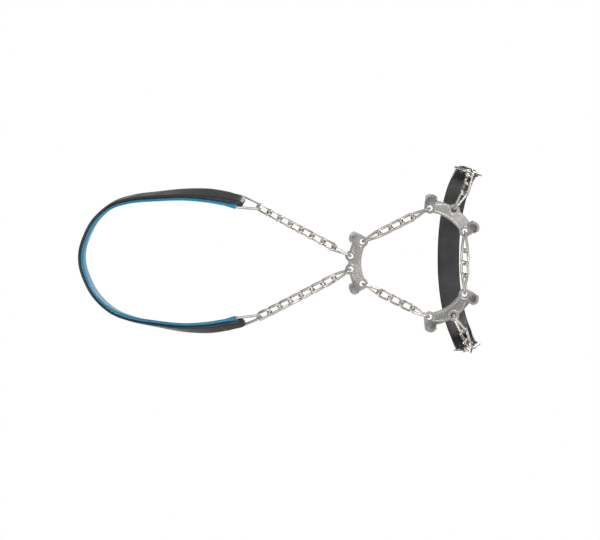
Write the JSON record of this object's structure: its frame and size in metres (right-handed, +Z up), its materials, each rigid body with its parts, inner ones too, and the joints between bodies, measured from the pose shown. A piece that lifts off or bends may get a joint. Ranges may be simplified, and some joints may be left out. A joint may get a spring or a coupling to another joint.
{
  "type": "shoe ice cleats",
  "caption": "Forefoot traction cleats: arc plates with claw spikes joined by chain, held on a shoe by elastic heel and toe straps.",
  "frame": {"origin": "on the plane of the plates' shoe faces, in the middle of the ring that the three plates and their chains form", "axes": "+X to the toe, +Y to the wearer's left, +Z up from the ground to the shoe"},
  "size_m": [0.2576, 0.12, 0.0716],
  "materials": {
    "stamped_plate": "satin stamped stainless steel",
    "chain_wire": "bright tumbled stainless wire",
    "ring_wire": "bright stainless wire",
    "blue_elastomer": "satin slightly translucent elastomer",
    "black_elastomer": "satin moulded elastomer"
  },
  "bodies": {
    "rear_plate": {"rear_plate": "stamped_plate"},
    "heel_chain_left_link_1": {"heel_chain_left_link_1": "chain_wire"},
    "heel_chain_left_link_2": {"heel_chain_left_link_2": "chain_wire"},
    "heel_chain_left_link_3": {"heel_chain_left_link_3": "chain_wire"},
    "heel_chain_left_link_4": {"heel_chain_left_link_4": "chain_wire"},
    "heel_chain_left_link_5": {"heel_chain_left_link_5": "chain_wire"},
    "heel_chain_left_link_6": {"heel_chain_left_link_6": "chain_wire"},
    "heel_chain_left_link_7": {"heel_chain_left_link_7": "chain_wire"},
    "heel_chain_left_link_8": {"heel_chain_left_link_8": "chain_wire"},
    "heel_chain_right_link_1": {"heel_chain_right_link_1": "chain_wire"},
    "heel_chain_right_link_2": {"heel_chain_right_link_2": "chain_wire"},
    "heel_chain_right_link_3": {"heel_chain_right_link_3": "chain_wire"},
    "heel_chain_right_link_4": {"heel_chain_right_link_4": "chain_wire"},
    "heel_chain_right_link_5": {"heel_chain_right_link_5": "chain_wire"},
    "heel_chain_right_link_6": {"heel_chain_right_link_6": "chain_wire"},
    "heel_chain_right_link_7": {"heel_chain_right_link_7": "chain_wire"},
    "heel_chain_right_link_8": {"heel_chain_right_link_8": "chain_wire"},
    "heel_strap": {"heel_strap_core": "blue_elastomer", "heel_strap_cover": "black_elastomer", "heel_strap_end_left": "black_elastomer", "heel_strap_end_right": "black_elastomer"},
    "heel_ring_left": {"heel_ring_left": "ring_wire"},
    "heel_ring_right": {"heel_ring_right": "ring_wire"},
    "ring_chain_left_link_1": {"ring_chain_left_link_1": "chain_wire"},
    "ring_chain_left_link_2": {"ring_chain_left_link_2": "chain_wire"},
    "ring_chain_left_link_3": {"ring_chain_left_link_3": "chain_wire"},
    "ring_chain_left_link_4": {"ring_chain_left_link_4": "chain_wire"},
    "ring_chain_left_link_5": {"ring_chain_left_link_5": "chain_wire"},
    "ring_chain_right_link_1": {"ring_chain_right_link_1": "chain_wire"},
    "ring_chain_right_link_2": {"ring_chain_right_link_2": "chain_wire"},
    "ring_chain_right_link_3": {"ring_chain_right_link_3": "chain_wire"},
    "ring_chain_right_link_4": {"ring_chain_right_link_4": "chain_wire"},
    "ring_chain_right_link_5": {"ring_chain_right_link_5": "chain_wire"},
    "front_plate_left": {"front_plate_left": "stamped_plate"},
    "front_plate_right": {"front_plate_right": "stamped_plate"},
    "cross_chain_link_1": {"cross_chain_link_1": "chain_wire"},
    "cross_chain_link_2": {"cross_chain_link_2": "chain_wire"},
    "cross_chain_link_3": {"cross_chain_link_3": "chain_wire"},
    "cross_chain_link_4": {"cross_chain_link_4": "chain_wire"},
    "toe_chain_left_link_1": {"toe_chain_left_link_1": "chain_wire"},
    "toe_chain_left_link_2": {"toe_chain_left_link_2": "chain_wire"},
    "toe_chain_left_link_3": {"toe_chain_left_link_3": "chain_wire"},
    "toe_chain_left_link_4": {"toe_chain_left_link_4": "chain_wire"},
    "toe_chain_right_link_1": {"toe_chain_right_link_1": "chain_wire"},
    "toe_chain_right_link_2": {"toe_chain_right_link_2": "chain_wire"},
    "toe_chain_right_link_3": {"toe_chain_right_link_3": "chain_wire"},
    "toe_chain_right_link_4": {"toe_chain_right_link_4": "chain_wire"},
    "toe_strap": {"toe_strap_core": "black_elastomer", "toe_strap_cover": "black_elastomer", "toe_strap_end_left": "black_elastomer", "toe_strap_end_right": "black_elastomer"},
    "toe_ring_left": {"toe_ring_left": "ring_wire"},
    "toe_ring_right": {"toe_ring_right": "ring_wire"}
  },
  "joints": [
    {"name": "heel_chain_left_pivot_1", "type": "hinge", "parent": "rear_plate", "child": "heel_chain_left_link_1", "pos_m": [-0.03347, 0.00403, -0.00075], "axis": [0, 1, 0], "range_deg": [-10, 10]},
    {"name": "heel_chain_left_pivot_2", "type": "hinge", "parent": "heel_chain_left_link_1", "child": "heel_chain_left_link_2", "pos_m": [-0.04389, 0.00955, -0.00075], "axis": [0, 1, 0], "range_deg": [-10, 10]},
    {"name": "heel_chain_left_pivot_3", "type": "hinge", "parent": "heel_chain_left_link_2", "child": "heel_chain_left_link_3", "pos_m": [-0.05061, 0.01311, -0.00075], "axis": [0, 1, 0], "range_deg": [-10, 10]},
    {"name": "heel_chain_left_pivot_4", "type": "hinge", "parent": "heel_chain_left_link_3", "child": "heel_chain_left_link_4", "pos_m": [-0.05733, 0.01666, -0.00075], "axis": [0, 1, 0], "range_deg": [-10, 10]},
    {"name": "heel_chain_left_pivot_5", "type": "hinge", "parent": "heel_chain_left_link_4", "child": "heel_chain_left_link_5", "pos_m": [-0.06404, 0.02022, -0.00049], "axis": [0, 1, 0], "range_deg": [-10, 10]},
    {"name": "heel_chain_left_pivot_6", "type": "hinge", "parent": "heel_chain_left_link_5", "child": "heel_chain_left_link_6", "pos_m": [-0.07072, 0.02375, 0.00031], "axis": [0, 1, 0], "range_deg": [-10, 10]},
    {"name": "heel_chain_left_pivot_7", "type": "hinge", "parent": "heel_chain_left_link_6", "child": "heel_chain_left_link_7", "pos_m": [-0.07733, 0.02726, 0.00163], "axis": [0, 1, 0], "range_deg": [-10, 10]},
    {"name": "heel_chain_left_pivot_8", "type": "hinge", "parent": "heel_chain_left_link_7", "child": "heel_chain_left_link_8", "pos_m": [-0.08385, 0.03071, 0.00347], "axis": [0, 1, 0], "range_deg": [-10, 10]},
    {"name": "heel_chain_right_pivot_1", "type": "hinge", "parent": "rear_plate", "child": "heel_chain_right_link_1", "pos_m": [-0.03347, -0.00403, -0.00075], "axis": [0, 1, 0], "range_deg": [-10, 10]},
    {"name": "heel_chain_right_pivot_2", "type": "hinge", "parent": "heel_chain_right_link_1", "child": "heel_chain_right_link_2", "pos_m": [-0.04389, -0.00955, -0.00075], "axis": [0, 1, 0], "range_deg": [-10, 10]},
    {"name": "heel_chain_right_pivot_3", "type": "hinge", "parent": "heel_chain_right_link_2", "child": "heel_chain_right_link_3", "pos_m": [-0.05061, -0.01311, -0.00075], "axis": [0, 1, 0], "range_deg": [-10, 10]},
    {"name": "heel_chain_right_pivot_4", "type": "hinge", "parent": "heel_chain_right_link_3", "child": "heel_chain_right_link_4", "pos_m": [-0.05733, -0.01666, -0.00075], "axis": [0, 1, 0], "range_deg": [-10, 10]},
    {"name": "heel_chain_right_pivot_5", "type": "hinge", "parent": "heel_chain_right_link_4", "child": "heel_chain_right_link_5", "pos_m": [-0.06404, -0.02022, -0.00049], "axis": [0, 1, 0], "range_deg": [-10, 10]},
    {"name": "heel_chain_right_pivot_6", "type": "hinge", "parent": "heel_chain_right_link_5", "child": "heel_chain_right_link_6", "pos_m": [-0.07072, -0.02375, 0.00031], "axis": [0, 1, 0], "range_deg": [-10, 10]},
    {"name": "heel_chain_right_pivot_7", "type": "hinge", "parent": "heel_chain_right_link_6", "child": "heel_chain_right_link_7", "pos_m": [-0.07733, -0.02726, 0.00163], "axis": [0, 1, 0], "range_deg": [-10, 10]},
    {"name": "heel_chain_right_pivot_8", "type": "hinge", "parent": "heel_chain_right_link_7", "child": "heel_chain_right_link_8", "pos_m": [-0.08385, -0.03071, 0.00347], "axis": [0, 1, 0], "range_deg": [-10, 10]},
    {"name": "heel_strap_swing", "type": "hinge", "parent": "heel_chain_left_link_8", "child": "heel_strap", "pos_m": [-0.09024, 0.03409, 0.00582], "axis": [0, 1, 0], "range_deg": [-15, 15]},
    {"name": "heel_ring_swivel", "type": "hinge", "parent": "heel_strap", "child": "heel_ring_left", "pos_m": [-0.10273, 0.03743, 0.00717], "axis": [0.1941, 0.3525, 0.9155], "range_deg": [-1, 1]},
    {"name": "heel_ring_swivel_right", "type": "hinge", "parent": "heel_strap", "child": "heel_ring_right", "pos_m": [-0.10273, -0.03743, 0.00717], "axis": [0.1941, -0.3525, 0.9155], "range_deg": [-1, 1]},
    {"name": "ring_chain_left_pivot_1", "type": "hinge", "parent": "rear_plate", "child": "ring_chain_left_link_1", "pos_m": [-0.02639, 0.01296, -0.00075], "axis": [0, 1, 0], "range_deg": [-6, 6]},
    {"name": "ring_chain_left_pivot_2", "type": "hinge", "parent": "ring_chain_left_link_1", "child": "ring_chain_left_link_2", "pos_m": [-0.01583, 0.01821, -0.00075], "axis": [0, 1, 0], "range_deg": [-6, 6]},
    {"name": "ring_chain_left_pivot_3", "type": "hinge", "parent": "ring_chain_left_link_2", "child": "ring_chain_left_link_3", "pos_m": [-0.00902, 0.0216, -0.00075], "axis": [0, 1, 0], "range_deg": [-6, 6]},
    {"name": "ring_chain_left_pivot_4", "type": "hinge", "parent": "ring_chain_left_link_3", "child": "ring_chain_left_link_4", "pos_m": [-0.00222, 0.02499, -0.00075], "axis": [0, 1, 0], "range_deg": [-6, 6]},
    {"name": "ring_chain_left_pivot_5", "type": "hinge", "parent": "ring_chain_left_link_4", "child": "ring_chain_left_link_5", "pos_m": [0.00458, 0.02837, -0.00075], "axis": [0, 1, 0], "range_deg": [-6, 6]},
    {"name": "ring_chain_right_pivot_1", "type": "hinge", "parent": "rear_plate", "child": "ring_chain_right_link_1", "pos_m": [-0.02639, -0.01296, -0.00075], "axis": [0, 1, 0], "range_deg": [-6, 6]},
    {"name": "ring_chain_right_pivot_2", "type": "hinge", "parent": "ring_chain_right_link_1", "child": "ring_chain_right_link_2", "pos_m": [-0.01583, -0.01821, -0.00075], "axis": [0, 1, 0], "range_deg": [-6, 6]},
    {"name": "ring_chain_right_pivot_3", "type": "hinge", "parent": "ring_chain_right_link_2", "child": "ring_chain_right_link_3", "pos_m": [-0.00902, -0.0216, -0.00075], "axis": [0, 1, 0], "range_deg": [-6, 6]},
    {"name": "ring_chain_right_pivot_4", "type": "hinge", "parent": "ring_chain_right_link_3", "child": "ring_chain_right_link_4", "pos_m": [-0.00222, -0.02499, -0.00075], "axis": [0, 1, 0], "range_deg": [-6, 6]},
    {"name": "ring_chain_right_pivot_5", "type": "hinge", "parent": "ring_chain_right_link_4", "child": "ring_chain_right_link_5", "pos_m": [0.00458, -0.02837, -0.00075], "axis": [0, 1, 0], "range_deg": [-6, 6]},
    {"name": "front_plate_left_pivot", "type": "hinge", "parent": "ring_chain_left_link_5", "child": "front_plate_left", "pos_m": [0.01515, 0.03363, -0.00075], "axis": [0, 1, 0], "range_deg": [-6, 6]},
    {"name": "front_plate_right_pivot", "type": "hinge", "parent": "ring_chain_right_link_5", "child": "front_plate_right", "pos_m": [0.01515, -0.03363, -0.00075], "axis": [0, 1, 0], "range_deg": [-6, 6]},
    {"name": "cross_chain_pivot_1", "type": "hinge", "parent": "front_plate_left", "child": "cross_chain_link_1", "pos_m": [0.03681, 0.0194, -0.00075], "axis": [0, 1, 0], "range_deg": [-8, 8]},
    {"name": "cross_chain_pivot_2", "type": "hinge", "parent": "cross_chain_link_1", "child": "cross_chain_link_2", "pos_m": [0.03681, 0.0076, -0.00075], "axis": [0, 1, 0], "range_deg": [-8, 8]},
    {"name": "cross_chain_pivot_3", "type": "hinge", "parent": "cross_chain_link_2", "child": "cross_chain_link_3", "pos_m": [0.03681, 0, -0.00075], "axis": [0, 1, 0], "range_deg": [-8, 8]},
    {"name": "cross_chain_pivot_4", "type": "hinge", "parent": "cross_chain_link_3", "child": "cross_chain_link_4", "pos_m": [0.03681, -0.0076, -0.00075], "axis": [0, 1, 0], "range_deg": [-8, 8]},
    {"name": "toe_chain_left_pivot_1", "type": "hinge", "parent": "front_plate_left", "child": "toe_chain_left_link_1", "pos_m": [0.03, 0.03264, -0.00075], "axis": [0, 1, 0], "range_deg": [-5, 5]},
    {"name": "toe_chain_left_pivot_2", "type": "hinge", "parent": "toe_chain_left_link_1", "child": "toe_chain_left_link_2", "pos_m": [0.03637, 0.04244, 0.00089], "axis": [0, 1, 0], "range_deg": [-5, 5]},
    {"name": "toe_chain_left_pivot_3", "type": "hinge", "parent": "toe_chain_left_link_2", "child": "toe_chain_left_link_3", "pos_m": [0.03888, 0.04866, 0.00446], "axis": [0, 1, 0], "range_deg": [-5, 5]},
    {"name": "toe_chain_left_pivot_4", "type": "hinge", "parent": "toe_chain_left_link_3", "child": "toe_chain_left_link_4", "pos_m": [0.04042, 0.05341, 0.0102], "axis": [0, 1, 0], "range_deg": [-5, 5]},
    {"name": "toe_chain_right_pivot_1", "type": "hinge", "parent": "front_plate_right", "child": "toe_chain_right_link_1", "pos_m": [0.03, -0.03264, -0.00075], "axis": [0, 1, 0], "range_deg": [-5, 5]},
    {"name": "toe_chain_right_pivot_2", "type": "hinge", "parent": "toe_chain_right_link_1", "child": "toe_chain_right_link_2", "pos_m": [0.03637, -0.04244, 0.00089], "axis": [0, 1, 0], "range_deg": [-5, 5]},
    {"name": "toe_chain_right_pivot_3", "type": "hinge", "parent": "toe_chain_right_link_2", "child": "toe_chain_right_link_3", "pos_m": [0.03888, -0.04866, 0.00446], "axis": [0, 1, 0], "range_deg": [-5, 5]},
    {"name": "toe_chain_right_pivot_4", "type": "hinge", "parent": "toe_chain_right_link_3", "child": "toe_chain_right_link_4", "pos_m": [0.04042, -0.05341, 0.0102], "axis": [0, 1, 0], "range_deg": [-5, 5]},
    {"name": "toe_strap_swing", "type": "hinge", "parent": "toe_chain_left_link_4", "child": "toe_strap", "pos_m": [0.04117, 0.05577, 0.01738], "axis": [0, 1, 0], "range_deg": [-15, 15]},
    {"name": "toe_ring_swivel", "type": "hinge", "parent": "toe_strap", "child": "toe_ring_left", "pos_m": [0.04117, 0.05577, 0.03038], "axis": [0.9537, -0.3007, 0], "range_deg": [-1.5, 0]},
    {"name": "toe_ring_swivel_right", "type": "hinge", "parent": "toe_strap", "child": "toe_ring_right", "pos_m": [0.04117, -0.05577, 0.03038], "axis": [0.9537, 0.3007, 0], "range_deg": [0, 1.5]}
  ],
  "couplings": [
    {"joint": "heel_chain_right_pivot_1", "follows": "heel_chain_left_pivot_1", "ratio": 1},
    {"joint": "heel_chain_right_pivot_2", "follows": "heel_chain_left_pivot_2", "ratio": 1},
    {"joint": "heel_chain_right_pivot_3", "follows": "heel_chain_left_pivot_3", "ratio": 1},
    {"joint": "heel_chain_right_pivot_4", "follows": "heel_chain_left_pivot_4", "ratio": 1},
    {"joint": "heel_chain_right_pivot_5", "follows": "heel_chain_left_pivot_5", "ratio": 1},
    {"joint": "heel_chain_right_pivot_6", "follows": "heel_chain_left_pivot_6", "ratio": 1},
    {"joint": "heel_chain_right_pivot_7", "follows": "heel_chain_left_pivot_7", "ratio": 1},
    {"joint": "heel_chain_right_pivot_8", "follows": "heel_chain_left_pivot_8", "ratio": 1},
    {"joint": "heel_ring_swivel_right", "follows": "heel_ring_swivel", "ratio": -1},
    {"joint": "ring_chain_right_pivot_1", "follows": "ring_chain_left_pivot_1", "ratio": 1},
    {"joint": "ring_chain_right_pivot_2", "follows": "ring_chain_left_pivot_2", "ratio": 1},
    {"joint": "ring_chain_right_pivot_3", "follows": "ring_chain_left_pivot_3", "ratio": 1},
    {"joint": "ring_chain_right_pivot_4", "follows": "ring_chain_left_pivot_4", "ratio": 1},
    {"joint": "ring_chain_right_pivot_5", "follows": "ring_chain_left_pivot_5", "ratio": 1},
    {"joint": "front_plate_right_pivot", "follows": "front_plate_left_pivot", "ratio": 1},
    {"joint": "cross_chain_pivot_2", "follows": "cross_chain_pivot_1", "ratio": 1},
    {"joint": "cross_chain_pivot_3", "follows": "cross_chain_pivot_1", "ratio": -1},
    {"joint": "cross_chain_pivot_4", "follows": "cross_chain_pivot_1", "ratio": -1},
    {"joint": "toe_chain_right_pivot_1", "follows": "toe_chain_left_pivot_1", "ratio": 1},
    {"joint": "toe_chain_right_pivot_2", "follows": "toe_chain_left_pivot_2", "ratio": 1},
    {"joint": "toe_chain_right_pivot_3", "follows": "toe_chain_left_pivot_3", "ratio": 1},
    {"joint": "toe_chain_right_pivot_4", "follows": "toe_chain_left_pivot_4", "ratio": 1},
    {"joint": "toe_ring_swivel_right", "follows": "toe_ring_swivel", "ratio": -1}
  ]
}
